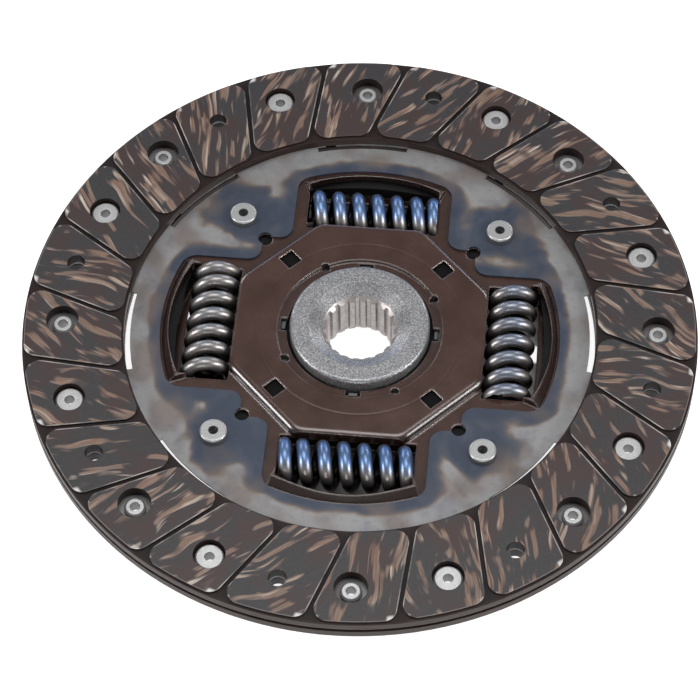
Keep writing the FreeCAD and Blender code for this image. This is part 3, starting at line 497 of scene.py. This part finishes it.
# Hub, rivets, pins and washers

BLASTED_GRAIN = [
    (0.32, (0.11, 0.11, 0.115)),
    (0.46, (0.27, 0.27, 0.28)),
    (0.56, (0.38, 0.38, 0.39)),
    (0.68, (0.80, 0.80, 0.81)),
]
SMOOTH_BORE = [(0.3, (0.34, 0.31, 0.30)), (0.7, (0.50, 0.47, 0.46))]
BORE_EDGE = 11.2
PIN_HOLLOW = 1.45
HOLLOW_SHADE = grey(0.015)


def hub_steel():
    """Blasted forged steel with a sparkling grain and a smoother bore."""
    finish = Finish("hub_steel", metallic=0.65)
    grain = finish.noise(finish.mm, 2.2, detail=2.0, roughness=0.8)
    coarse = finish.noise(finish.mm, 0.8, detail=2.0, roughness=0.6)
    bore_tint = finish.ramp(coarse, SMOOTH_BORE)
    past_bore = finish.span(finish.radius(), BORE_EDGE, BORE_EDGE + 0.4)
    finish.set("Base Color", finish.mix(past_bore, bore_tint, finish.ramp(grain, BLASTED_GRAIN)))
    finish.set("Roughness", finish.span(grain, 0.3, 0.7, start=0.42, end=0.26))
    finish.set("Normal", finish.bump(grain, depth=0.12, strength=0.55, edge=0.2))
    return finish.material


def satin_steel(name, level, grain_scale, roughness, pin_hollow=0.0):
    """Plain steel of this grey level with fine grain and small dark marks, with painted shade on its
    walls and, if asked, in the hollow on each stop pin.
    """
    finish = Finish(name, metallic=0.6)
    grain = finish.noise(finish.mm, grain_scale, roughness=0.7)
    marks = finish.span(finish.noise(finish.mm, 0.9, detail=4.0, roughness=0.7), 0.56, 0.75)
    tint = finish.ramp(grain, [(0.3, grey(level * 0.78)), (0.7, grey(min(1.0, level * 1.15)))])
    tint = finish.mix(finish.times(marks, 0.35), tint, grey(level * 0.45))
    if pin_hollow > 0.0:
        # Painted shade: a dark spot in the hollow on top of each stop pin.
        hollow = finish.span(from_pins(finish), pin_hollow + 0.15, pin_hollow - 0.1)
        tint = finish.mix(hollow, tint, HOLLOW_SHADE)
    # Painted shade: walls along the axis are darkened.
    walls = finish.times(finish.upright(), 0.75)
    finish.set("Base Color", finish.mix(walls, tint, grey(level * 0.2)))
    finish.set("Roughness", finish.span(grain, 0.3, 0.7, start=roughness + 0.08, end=roughness - 0.06))
    finish.set("Normal", finish.bump(grain, depth=0.03, strength=0.5, edge=0.25))
    return finish.material


def black_plastic():
    """Glass-filled black plastic with a faint moulded grain."""
    finish = Finish("black_plastic", roughness=0.75)
    grain = finish.noise(finish.mm, 2.0, detail=4.0, roughness=0.6)
    finish.set("Base Color", finish.ramp(grain, [(0.3, grey(0.003)), (0.7, grey(0.008))]))
    finish.set("Specular IOR Level", 0.12)
    finish.set("Normal", finish.bump(grain, depth=0.03, strength=0.5))
    return finish.material


# Spring wire

DRAWN_WIRE = [(0.3, (0.30, 0.27, 0.25)), (0.55, (0.38, 0.36, 0.35)), (0.75, (0.30, 0.32, 0.37))]
DULL_SPECK = (0.14, 0.125, 0.115)
PAINTED_SKY_REFLECTION = (0.16, 0.21, 0.31)
PAINTED_SKY_BLOOM = (0.12, 0.235, 0.47)
PAINTED_COIL_SHADE = (0.012, 0.010, 0.010)


def spring_steel():
    """Oil-tempered wire: bronze-grey, with a painted reflection of the blue sky on top and painted
    shade on its lower half.
    """
    finish = Finish("spring_steel", metallic=0.9)
    cloud = finish.noise(finish.mm, 0.25, roughness=0.6)
    speck = finish.noise(finish.mm, 2.4, roughness=0.7)
    tint = finish.ramp(cloud, DRAWN_WIRE)
    tint = finish.mix(finish.span(speck, 0.58, 0.75, end=0.5), tint, DULL_SPECK)
    # Painted reflection: the blue sky on the tops of the coils, stronger towards the right.
    to_the_right = finish.span(finish.x, -10.0, 45.0, start=0.1, end=0.55)
    sky_on_crest = finish.times(finish.span(finish.z, 1.8, 3.2), to_the_right)
    tint = finish.mix(sky_on_crest, tint, PAINTED_SKY_REFLECTION)
    # Painted reflection: the blue sky on the upper far side of the top and bottom springs.
    own_middle = finish.times(finish.work("SIGN", finish.y), SPRING_REACH)
    far_side = finish.span(finish.minus(finish.y, own_middle), -5.5, -2.5)
    sky_bloom = finish.times(far_side, finish.span(finish.z, 0.5, 2.0))
    steepness = finish.minus(finish.unsigned(finish.y), finish.unsigned(finish.x))
    sky_bloom = finish.times(sky_bloom, finish.span(steepness, 0.0, 6.0))
    tint = finish.mix(finish.times(sky_bloom, 0.8), tint, PAINTED_SKY_BLOOM)
    # Painted shade: the lower half of each coil is darkened, so the gaps between the coils read dark.
    painted_shade_below = finish.span(finish.z, 1.0, -2.6)
    finish.set("Base Color", finish.mix(painted_shade_below, tint, PAINTED_COIL_SHADE))
    finish.set("Roughness", finish.span(speck, 0.3, 0.7, start=0.3, end=0.44))
    finish.set("Normal", finish.bump(speck, depth=0.03, strength=0.6))
    return finish.material


# Paper under the disc

PAPER_GLOW = 0.85
SHADE_EDGE = 60.0
BORE_SHADE_EDGE = 26.0
SPRING_GAP_REACH = 46.0
SPRING_GAP_PLACE = 9.0
SPRING_GAP_LEAN = 3.3
SPRING_GAP_HALF = 2.9


def floor_paper():
    """White paper with a painted glow, cut away in the shade under the disc but kept under the bore
    and in two gaps beside the side springs.
    """
    finish = Finish("floor_paper", roughness=0.9)
    cloud = finish.noise(finish.mm, 0.01, detail=2.0)
    finish.set("Base Color", finish.ramp(cloud, [(0.3, grey(0.60)), (0.7, grey(0.62))]))
    radius = finish.radius()
    past_shade = finish.span(radius, SHADE_EDGE - 2.0, SHADE_EDGE + 2.0, end=PAPER_GLOW)
    # Painted light: the paper glows again under the bore and in two slanted gaps beside the left and
    # right springs, so white shows through them.
    under_bore = finish.span(radius, BORE_SHADE_EDGE + 4.0, BORE_SHADE_EDGE - 4.0, end=PAPER_GLOW)
    sideways = finish.unsigned(finish.x)
    past_springs = finish.span(sideways, SPRING_GAP_REACH, SPRING_GAP_REACH + 3.0, end=PAPER_GLOW)
    lean = finish.times(finish.work("SIGN", finish.x), SPRING_GAP_LEAN)
    from_gap = finish.unsigned(finish.minus(finish.plus(finish.y, lean), SPRING_GAP_PLACE))
    in_gap = finish.span(from_gap, SPRING_GAP_HALF + 0.5, SPRING_GAP_HALF - 0.5)
    spring_gap_glow = finish.times(past_springs, in_gap)
    finish.set("Emission Color", (1.0, 1.0, 1.0, 1.0))
    finish.set("Emission Strength", finish.most(finish.most(past_shade, spring_gap_glow), under_bore))
    return finish.material


# Coil springs


def rise_per_turn(turns_done):
    """The coil is wound close over its end turns and open between them."""
    from_end = min(turns_done, SPRING_TURNS - turns_done)
    share = min(1.0, max(0.0, (from_end - SPRING_END_TURNS) / SPRING_END_TURNS))
    eased = share * share * (3 - 2 * share)
    return SPRING_END_PITCH + (SPRING_PITCH - SPRING_END_PITCH) * eased


def coil_spring():
    """A right-hand coil along Z, wound step by step from a ring and ground flat at both ends."""
    steps = 32
    section = 20
    count = round(SPRING_TURNS * steps)
    rises = [rise_per_turn((step + 0.5) / steps) / steps for step in range(count)]
    bpy.ops.object.select_all(action="DESELECT")
    bpy.ops.mesh.primitive_circle_add(
        vertices=section,
        radius=SPRING_WIRE * MM,
        fill_type="NOTHING",
        location=(SPRING_MEAN * MM, 0, -sum(rises) / 2 * MM),
        rotation=(math.pi / 2, 0, 0),
    )
    coil = bpy.context.object
    bpy.ops.object.transform_apply(location=True, rotation=True, scale=True)
    bpy.ops.object.mode_set(mode="EDIT")
    bpy.ops.mesh.select_all(action="SELECT")
    for rise in rises:
        bpy.ops.mesh.extrude_edges_move(TRANSFORM_OT_translate={"value": (0, 0, rise * MM)})
        bpy.ops.transform.rotate(
            value=-2 * math.pi / steps,
            orient_axis="Z",
            orient_type="GLOBAL",
            center_override=(0, 0, 0),
        )
    for side in (-1, 1):
        bpy.ops.mesh.select_all(action="SELECT")
        bpy.ops.mesh.bisect(
            plane_co=(0, 0, side * SPRING_LENGTH / 2 * MM),
            plane_no=(0, 0, side),
            use_fill=True,
            clear_outer=True,
        )
    bpy.ops.mesh.select_all(action="SELECT")
    bpy.ops.mesh.fill_holes(sides=section)
    bpy.ops.mesh.normals_make_consistent(inside=False)
    bpy.ops.object.mode_set(mode="OBJECT")
    bpy.ops.object.shade_smooth_by_angle(angle=math.radians(40))
    return coil


def laid_spring(coil, name, angle, roll):
    """A copy of the coil, rolled about its own axis and laid across the radius at this angle."""
    spring = coil.copy()
    spring.data = coil.data.copy()
    spring.name = name
    bpy.context.collection.objects.link(spring)
    rolled = Matrix.Rotation(math.radians(roll), 4, "Z")
    laid = Matrix.Rotation(-math.pi / 2, 4, "X")
    out = Matrix.Translation(Vector((SPRING_REACH * MM, 0, SPRING_HEIGHT * MM)))
    around = Matrix.Rotation(math.radians(angle), 4, "Z")
    spring.data.transform(around @ out @ laid @ rolled)
    return spring


# The scene

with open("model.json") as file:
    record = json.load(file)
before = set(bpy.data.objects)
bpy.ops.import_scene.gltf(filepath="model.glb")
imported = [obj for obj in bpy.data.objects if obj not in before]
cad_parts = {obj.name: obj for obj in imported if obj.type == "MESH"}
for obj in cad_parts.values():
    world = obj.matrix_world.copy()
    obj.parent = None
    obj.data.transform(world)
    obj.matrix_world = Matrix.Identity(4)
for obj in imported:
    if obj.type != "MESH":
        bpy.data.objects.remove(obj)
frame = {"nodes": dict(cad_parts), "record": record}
cad_low, cad_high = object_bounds()

finishes = {
    "friction_lining": friction_lining(),
    "rivet_steel": satin_steel("rivet_steel", level=0.66, grain_scale=3.0, roughness=0.38),
    "tempered_steel": tempered_steel(),
    "brown_plate": brown_plate(),
    "hub_steel": hub_steel(),
    "spring_steel": spring_steel(),
    "plain_steel": satin_steel(
        "plain_steel",
        level=0.50,
        grain_scale=2.4,
        roughness=0.34,
        pin_hollow=PIN_HOLLOW,
    ),
    "black_plastic": black_plastic(),
}
oiled_steel = satin_steel("oiled_steel", level=0.16, grain_scale=1.6, roughness=0.34)
# Painted shade: the hub flange, seen only deep in the windows and holes, gets near-black steel.
painted_shade_steel = satin_steel("painted_shade_steel", level=0.012, grain_scale=2.0, roughness=0.6)
darker_finishes = {
    "thrust_ring": oiled_steel,
    "disc_spring": oiled_steel,
    "hub_flange": painted_shade_steel,
}
slots = {entry["node"]: entry["material_slot"] for entry in frame["record"]["subparts"]}
for name, node in frame["nodes"].items():
    node.data.materials.clear()
    node.data.materials.append(darker_finishes.get(name, finishes[slots[name]]))

coil = coil_spring()
for number, roll in enumerate(SPRING_ROLLS):
    name = "damper_spring_" + str(number + 1)
    angle = 90 * number
    spring = laid_spring(coil, "coil_" + str(number + 1), angle, roll)
    spring.data.materials.clear()
    spring.data.materials.append(finishes["spring_steel"])
    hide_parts(name)
    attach(spring, "disc")
    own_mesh(spring)
bpy.data.objects.remove(coil)

FLOOR_SIZE = 6.0
FLOOR_GAP = 0.0002
bpy.ops.object.select_all(action="DESELECT")
bpy.ops.mesh.primitive_plane_add(size=FLOOR_SIZE, location=(0, 0, cad_low.z - FLOOR_GAP))
floor = bpy.context.object
floor.name = "floor"
floor.data.materials.append(floor_paper())

# Light: soft boxes at both sides, in front, overhead and behind, and a pale blue sky low behind

world = bpy.data.worlds.new("studio")
bpy.context.scene.world = world
world.use_nodes = True
world.node_tree.nodes["Background"].inputs["Color"].default_value = (1.0, 1.0, 1.0, 1.0)
world.node_tree.nodes["Background"].inputs["Strength"].default_value = 0.2


def towards(azimuth, elevation):
    """The direction from the disc to a light or the camera, in degrees from the front and upwards."""
    way = math.radians(azimuth)
    up = math.radians(elevation)
    return Vector((math.sin(way) * math.cos(up), -math.cos(way) * math.cos(up), math.sin(up)))


def soft_box(name, azimuth, elevation, size, power, distance=1.2, colour=(1.0, 1.0, 1.0)):
    """An area light that looks at the middle of the disc."""
    light = bpy.data.lights.new(name, "AREA")
    light.shape = "RECTANGLE"
    light.size, light.size_y = size
    light.energy = power
    light.color = colour
    holder = bpy.data.objects.new(name, light)
    bpy.context.collection.objects.link(holder)
    back = towards(azimuth, elevation)
    holder.location = back * distance
    holder.rotation_euler = back.to_track_quat("Z", "Y").to_euler()


soft_box("box_left", azimuth=-72, elevation=26, size=(0.4, 0.4), power=4.5)
soft_box("box_right", azimuth=82, elevation=26, size=(0.4, 0.4), power=4.5)
soft_box("bend_left", azimuth=-76, elevation=32, size=(0.24, 0.24), power=1.8)
soft_box("bend_right", azimuth=70, elevation=33, size=(0.24, 0.24), power=2.6)
soft_box("box_front", azimuth=2, elevation=14, size=(0.45, 0.14), power=1.6)
soft_box("box_above", azimuth=170, elevation=84, size=(0.8, 0.6), power=5.5)
soft_box("box_back_left", azimuth=152, elevation=24, size=(0.35, 0.3), power=2.0, distance=1.3)
soft_box("box_back_right", azimuth=218, elevation=24, size=(0.35, 0.3), power=2.0, distance=1.3)
soft_box(
    "sky_back",
    azimuth=186,
    elevation=14,
    size=(1.6, 0.5),
    power=3.0,
    distance=1.6,
    colour=(0.42, 0.60, 1.0),
)

# Camera, fitted to the photograph

PHOTO_WIDTH = 700
FOCAL_PIXELS = 2952.9
SHIFT_PIXELS = (-9.7, -25.2)
SENSOR_WIDTH = 36.0
DISTANCE = 0.87457
AIM = Vector((0, 0, 0.0041))
ROLL = math.radians(0.794)

camera_data = bpy.data.cameras.new("camera")
camera_data.sensor_width = SENSOR_WIDTH
camera_data.lens = FOCAL_PIXELS / PHOTO_WIDTH * SENSOR_WIDTH
camera_data.shift_x = SHIFT_PIXELS[0] / PHOTO_WIDTH
camera_data.shift_y = SHIFT_PIXELS[1] / PHOTO_WIDTH
camera_data.clip_start = 0.01
camera_data.clip_end = 20.0
camera = bpy.data.objects.new("camera", camera_data)
bpy.context.collection.objects.link(camera)
back = towards(azimuth=5.835, elevation=56.063)
look = (-back).to_track_quat("-Z", "Y").to_matrix() @ Matrix.Rotation(-ROLL, 3, "Z")
camera.matrix_world = Matrix.Translation(AIM + back * DISTANCE) @ look.to_4x4()
bpy.context.scene.camera = camera
bpy.context.scene.view_settings.view_transform = "Standard"
